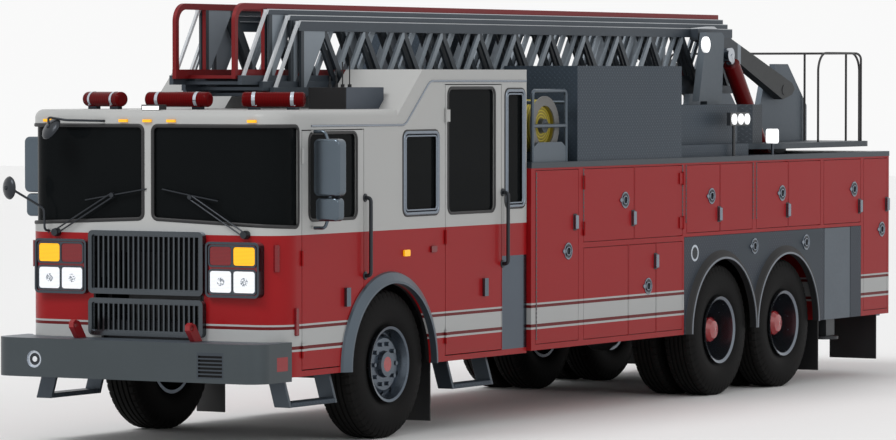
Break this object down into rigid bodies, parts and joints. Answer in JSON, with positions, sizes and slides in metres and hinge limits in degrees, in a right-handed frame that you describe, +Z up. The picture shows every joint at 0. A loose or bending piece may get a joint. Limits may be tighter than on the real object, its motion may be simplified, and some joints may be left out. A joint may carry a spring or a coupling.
{
  "type": "fire engine",
  "caption": "Three-axle fire engine with a crew cab, locker body, rear turntable and telescopic aerial ladder.",
  "frame": {"origin": "on the ground under the middle of the vehicle's overall length and width, ladder bedded", "axes": "+Z up, +Y towards the rear, +X to the driver's side (the vehicle's left)"},
  "size_m": [2.986, 11.8, 3.512],
  "materials": {
    "red_paint": "gloss fire red",
    "black_steel": "satin black",
    "dark_casting": "rough",
    "grey_ladder": "satin",
    "bright_metal": "polished",
    "tread_metal": "treadplate",
    "tyre": "matt black",
    "rim_metal": "polished",
    "glass": "dark tint",
    "interior": "grained",
    "rubber": "matt",
    "lamp": "clear",
    "lamp_red": "clear red",
    "grey_paint": "satin grey",
    "hose": "yellow hose",
    "chrome_rod": "polished"
  },
  "bodies": {
    "truck": {"chassis_frame": "black_steel", "axles_and_springs": "dark_casting", "engine_block": "dark_casting", "front_bumper": "bright_metal", "cab_shell": "red_paint", "cab_glass": "glass", "cab_interior": "interior", "cab_fittings": "bright_metal", "cab_steps": "bright_metal", "arch_flares": "bright_metal", "front_grille": "tread_metal", "lamp_units": "lamp", "light_bars": "lamp_red", "roof_equipment": "grey_paint", "body_shell": "red_paint", "closed_doors": "red_paint", "wheel_panels": "tread_metal", "deck_plate": "tread_metal", "deck_boxes": "tread_metal", "hose_reel_frame": "bright_metal", "mud_flaps": "rubber", "rear_fittings": "bright_metal"},
    "knuckle_left": {"knuckle_left": "black_steel"},
    "front_wheel_left": {"front_rim_left": "rim_metal", "front_tyre_left": "tyre"},
    "rear_wheels_1_left": {"rear_rim_1_left": "rim_metal", "rear_tyres_1_left": "tyre"},
    "rear_wheels_2_left": {"rear_rim_2_left": "rim_metal", "rear_tyres_2_left": "tyre"},
    "front_door_left": {"front_door_left": "red_paint", "front_door_glass_left": "glass"},
    "crew_door_left": {"crew_door_left": "red_paint", "crew_door_glass_left": "glass"},
    "locker_door_front_left": {"locker_door_upper_front_left": "red_paint"},
    "locker_door_rear_left": {"locker_door_upper_front_rear_left": "red_paint"},
    "stabiliser_beam_left": {"stabiliser_beam_left": "red_paint"},
    "stabiliser_jack_left": {"stabiliser_jack_left": "grey_paint"},
    "knuckle_right": {"knuckle_right": "black_steel"},
    "front_wheel_right": {"front_rim_right": "rim_metal", "front_tyre_right": "tyre"},
    "rear_wheels_1_right": {"rear_rim_1_right": "rim_metal", "rear_tyres_1_right": "tyre"},
    "rear_wheels_2_right": {"rear_rim_2_right": "rim_metal", "rear_tyres_2_right": "tyre"},
    "front_door_right": {"front_door_right": "red_paint", "front_door_glass_right": "glass"},
    "crew_door_right": {"crew_door_right": "red_paint", "crew_door_glass_right": "glass"},
    "locker_door_front_right": {"locker_door_upper_front_right": "red_paint"},
    "locker_door_rear_right": {"locker_door_upper_front_rear_right": "red_paint"},
    "stabiliser_beam_right": {"stabiliser_beam_right": "red_paint"},
    "stabiliser_jack_right": {"stabiliser_jack_right": "grey_paint"},
    "turntable": {"turntable": "grey_paint"},
    "lift_barrels": {"lift_barrels": "red_paint"},
    "lift_rods": {"lift_rods": "chrome_rod"},
    "ladder_base": {"ladder_base": "grey_ladder"},
    "ladder_lower_mid": {"ladder_lower_mid": "grey_ladder"},
    "ladder_upper_mid": {"ladder_upper_mid": "grey_ladder"},
    "ladder_fly": {"ladder_fly": "grey_ladder"},
    "hose_reel": {"hose_reel_drum": "hose"}
  },
  "joints": [
    {"name": "steer_left", "type": "hinge", "parent": "truck", "child": "knuckle_left", "pos_m": [0.79, -3.85, 0.6], "axis": [0, 0, 1], "range_deg": [-35, 35]},
    {"name": "front_wheel_spin_left", "type": "hinge", "parent": "knuckle_left", "child": "front_wheel_left", "pos_m": [1, -3.85, 0.6], "axis": [1, 0, 0], "continuous": true},
    {"name": "rear_wheel_spin_1_left", "type": "hinge", "parent": "truck", "child": "rear_wheels_1_left", "pos_m": [1, 2.087, 0.6], "axis": [1, 0, 0], "continuous": true},
    {"name": "rear_wheel_spin_2_left", "type": "hinge", "parent": "truck", "child": "rear_wheels_2_left", "pos_m": [1, 3.441, 0.6], "axis": [1, 0, 0], "continuous": true},
    {"name": "front_door_hinge_left", "type": "hinge", "parent": "truck", "child": "front_door_left", "pos_m": [1.2183, -5.204, 1.5], "axis": [0, 0, -1], "range_deg": [0, 75]},
    {"name": "crew_door_hinge_left", "type": "hinge", "parent": "truck", "child": "crew_door_left", "pos_m": [1.2183, -2.947, 1.6], "axis": [0, 0, -1], "range_deg": [0, 75]},
    {"name": "locker_hinge_front_left", "type": "hinge", "parent": "truck", "child": "locker_door_front_left", "pos_m": [1.2553, -0.596, 1.8], "axis": [0, 0, -1], "range_deg": [0, 105]},
    {"name": "locker_hinge_rear_left", "type": "hinge", "parent": "truck", "child": "locker_door_rear_left", "pos_m": [1.2553, 1.299, 1.8], "axis": [0, 0, 1], "range_deg": [0, 105]},
    {"name": "stabiliser_out_left", "type": "slide", "parent": "truck", "child": "stabiliser_beam_left", "axis": [1, 0, 0], "range_m": [0, 1.3]},
    {"name": "stabiliser_down_left", "type": "slide", "parent": "stabiliser_beam_left", "child": "stabiliser_jack_left", "axis": [0, 0, -1], "range_m": [0, 0.39]},
    {"name": "steer_right", "type": "hinge", "parent": "truck", "child": "knuckle_right", "pos_m": [-0.79, -3.85, 0.6], "axis": [0, 0, 1], "range_deg": [-35, 35]},
    {"name": "front_wheel_spin_right", "type": "hinge", "parent": "knuckle_right", "child": "front_wheel_right", "pos_m": [-1, -3.85, 0.6], "axis": [1, 0, 0], "continuous": true},
    {"name": "rear_wheel_spin_1_right", "type": "hinge", "parent": "truck", "child": "rear_wheels_1_right", "pos_m": [-1, 2.087, 0.6], "axis": [1, 0, 0], "continuous": true},
    {"name": "rear_wheel_spin_2_right", "type": "hinge", "parent": "truck", "child": "rear_wheels_2_right", "pos_m": [-1, 3.441, 0.6], "axis": [1, 0, 0], "continuous": true},
    {"name": "front_door_hinge_right", "type": "hinge", "parent": "truck", "child": "front_door_right", "pos_m": [-1.2183, -5.204, 1.5], "axis": [0, 0, 1], "range_deg": [0, 75]},
    {"name": "crew_door_hinge_right", "type": "hinge", "parent": "truck", "child": "crew_door_right", "pos_m": [-1.2183, -2.947, 1.6], "axis": [0, 0, 1], "range_deg": [0, 75]},
    {"name": "locker_hinge_front_right", "type": "hinge", "parent": "truck", "child": "locker_door_front_right", "pos_m": [-1.2553, -0.596, 1.8], "axis": [0, 0, 1], "range_deg": [0, 105]},
    {"name": "locker_hinge_rear_right", "type": "hinge", "parent": "truck", "child": "locker_door_rear_right", "pos_m": [-1.2553, 1.299, 1.8], "axis": [0, 0, -1], "range_deg": [0, 105]},
    {"name": "stabiliser_out_right", "type": "slide", "parent": "truck", "child": "stabiliser_beam_right", "axis": [-1, 0, 0], "range_m": [0, 1.3]},
    {"name": "stabiliser_down_right", "type": "slide", "parent": "stabiliser_beam_right", "child": "stabiliser_jack_right", "axis": [0, 0, -1], "range_m": [0, 0.39]},
    {"name": "turntable_slew", "type": "hinge", "parent": "truck", "child": "turntable", "pos_m": [0, 4.45, 2], "axis": [0, 0, 1], "continuous": true},
    {"name": "ladder_elevation", "type": "hinge", "parent": "turntable", "child": "ladder_base", "pos_m": [0, 4.92, 2.79], "axis": [-1, 0, 0], "range_deg": [0, 75]},
    {"name": "ladder_extension", "type": "slide", "parent": "ladder_base", "child": "ladder_lower_mid", "axis": [0, -1, 0], "range_m": [0, 6.4]},
    {"name": "upper_mid_extension", "type": "slide", "parent": "ladder_lower_mid", "child": "ladder_upper_mid", "axis": [0, -1, 0], "range_m": [0, 6.4]},
    {"name": "fly_extension", "type": "slide", "parent": "ladder_upper_mid", "child": "ladder_fly", "axis": [0, -1, 0], "range_m": [0, 6.4]},
    {"name": "lift_barrel_pivot", "type": "hinge", "parent": "turntable", "child": "lift_barrels", "pos_m": [0, 4.43, 1.99], "axis": [-1, 0, 0], "range_deg": [0, 50.61]},
    {"name": "lift_rod_slide", "type": "slide", "parent": "lift_barrels", "child": "lift_rods", "axis": [0, -0.6249, 0.7807], "range_m": [0, 0.8326]},
    {"name": "hose_reel_spin", "type": "hinge", "parent": "truck", "child": "hose_reel", "pos_m": [0.895, -1.1, 2.5], "axis": [1, 0, 0], "continuous": true}
  ],
  "couplings": [
    {"joint": "steer_right", "follows": "steer_left", "ratio": 1},
    {"joint": "upper_mid_extension", "follows": "ladder_extension", "ratio": 1},
    {"joint": "fly_extension", "follows": "ladder_extension", "ratio": 1},
    {"joint": "lift_barrel_pivot", "follows": "ladder_elevation", "ratio": 0.66815},
    {"joint": "lift_rod_slide", "follows": "ladder_elevation", "m_per_rad": 0.63299}
  ]
}
